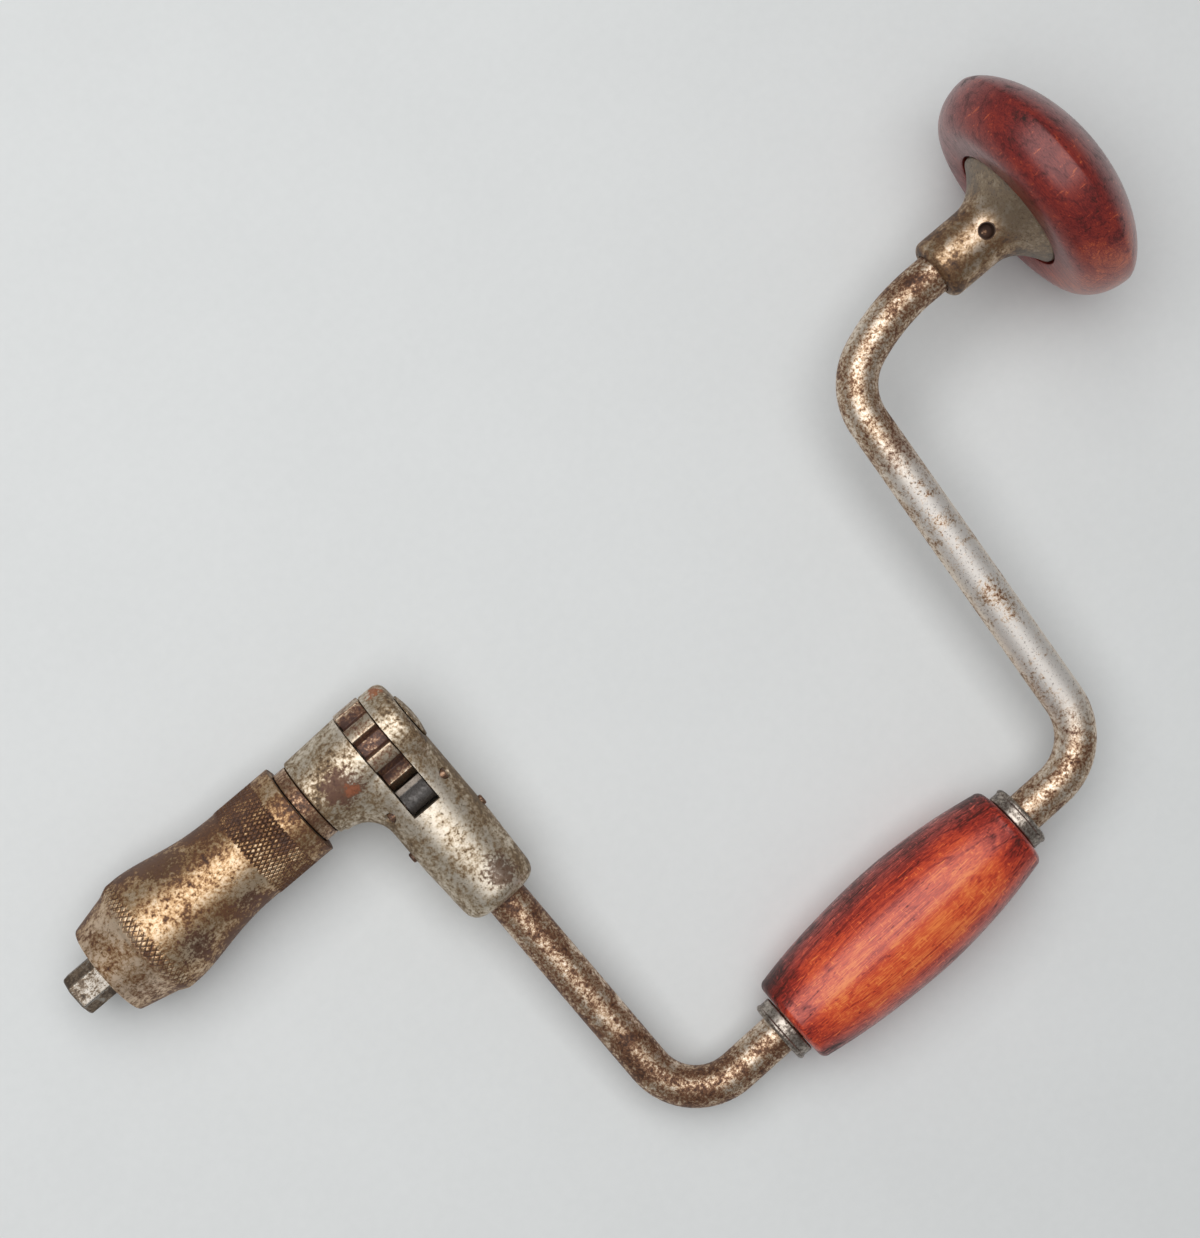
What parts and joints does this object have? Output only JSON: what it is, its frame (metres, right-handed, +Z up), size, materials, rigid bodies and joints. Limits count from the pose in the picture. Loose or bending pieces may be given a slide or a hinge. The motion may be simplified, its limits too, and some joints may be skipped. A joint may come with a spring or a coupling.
{
  "type": "ratchet brace",
  "caption": "Hand brace for drilling: bent round-rod sweep with a turning wooden grip and head, a ratchet box with toothed wheel and pawls, and a knurled chuck with jaws.",
  "frame": {"origin": "on the table plane, under the middle of the brace as it lies", "axes": "+X along the main axis as seen from above, from the chuck to the head; the grip lies towards -Y; +Z up off the table"},
  "size_m": [0.3482, 0.1778, 0.0691],
  "materials": {
    "aged_steel": "brown patina with rust speckle",
    "worn_nickel": "worn plating with olive-brown stains",
    "dark_steel": "dark oiled steel",
    "stained_beech": "red-orange stain, satin, worn",
    "crimson_wood": "dark crimson stain, satin, worn"
  },
  "bodies": {
    "frame": {"sweep": "aged_steel", "ratchet_box": "worn_nickel", "sweep_pin": "dark_steel", "pawl_pin_upper": "dark_steel", "pawl_pin_lower": "dark_steel", "pawl_spring": "dark_steel", "grip_collar_lower": "dark_steel", "grip_collar_upper": "dark_steel", "head_thrust_washer": "dark_steel", "head_back_washer": "dark_steel", "head_nut": "dark_steel"},
    "head": {"head_quill": "worn_nickel", "head_knob": "crimson_wood"},
    "grip": {"grip": "stained_beech"},
    "spindle": {"spindle": "aged_steel", "gear_key": "dark_steel", "ratchet_gear": "aged_steel", "spindle_rivet": "worn_nickel", "thrust_ring": "aged_steel", "jaw_spring": "dark_steel"},
    "shell": {"chuck_shell": "aged_steel"},
    "jaw_upper": {"jaw_upper": "aged_steel"},
    "jaw_lower": {"jaw_lower": "aged_steel"},
    "pawl_upper": {"pawl_upper": "dark_steel"},
    "pawl_lower": {"pawl_lower": "dark_steel"}
  },
  "joints": [
    {"name": "head_spin", "type": "hinge", "parent": "frame", "child": "head", "pos_m": [0.14668, 0.05445, 0.03405], "axis": [0.9984, 0, 0.0558], "continuous": true},
    {"name": "grip_spin", "type": "hinge", "parent": "frame", "child": "grip", "pos_m": [-0.03573, -0.07313, 0.01466], "axis": [0.998, 0.0244, 0.0576], "continuous": true},
    {"name": "spindle_spin", "type": "hinge", "parent": "frame", "child": "spindle", "pos_m": [-0.07228, 0.05445, 0.0218], "axis": [0.9984, 0, 0.0558], "continuous": true},
    {"name": "shell_turn", "type": "hinge", "parent": "spindle", "child": "shell", "pos_m": [-0.09843, 0.05445, 0.02034], "axis": [-0.9984, 0, -0.0558], "range_deg": [0, 799]},
    {"name": "jaw_upper_slide", "type": "slide", "parent": "spindle", "child": "jaw_upper", "axis": [0.9192, -0.0245, 0.3931], "range_m": [0, 0.005]},
    {"name": "jaw_lower_slide", "type": "slide", "parent": "spindle", "child": "jaw_lower", "axis": [0.9573, 0.0245, -0.2881], "range_m": [0, 0.005]},
    {"name": "pawl_upper_swing", "type": "hinge", "parent": "frame", "child": "pawl_upper", "pos_m": [-0.0726, 0.03704, 0.02756], "axis": [0.9984, 0, 0.0558], "range_deg": [-6, 12], "stiffness_Nm_per_rad": 0.01},
    {"name": "pawl_lower_swing", "type": "hinge", "parent": "frame", "child": "pawl_lower", "pos_m": [-0.07182, 0.03804, 0.01362], "axis": [0.9984, 0, 0.0558], "range_deg": [0, 8], "stiffness_Nm_per_rad": 0.01}
  ],
  "couplings": [
    {"joint": "shell_turn", "follows": "jaw_upper_slide", "rad_per_m": 2789},
    {"joint": "jaw_lower_slide", "follows": "jaw_upper_slide", "ratio": 1}
  ]
}
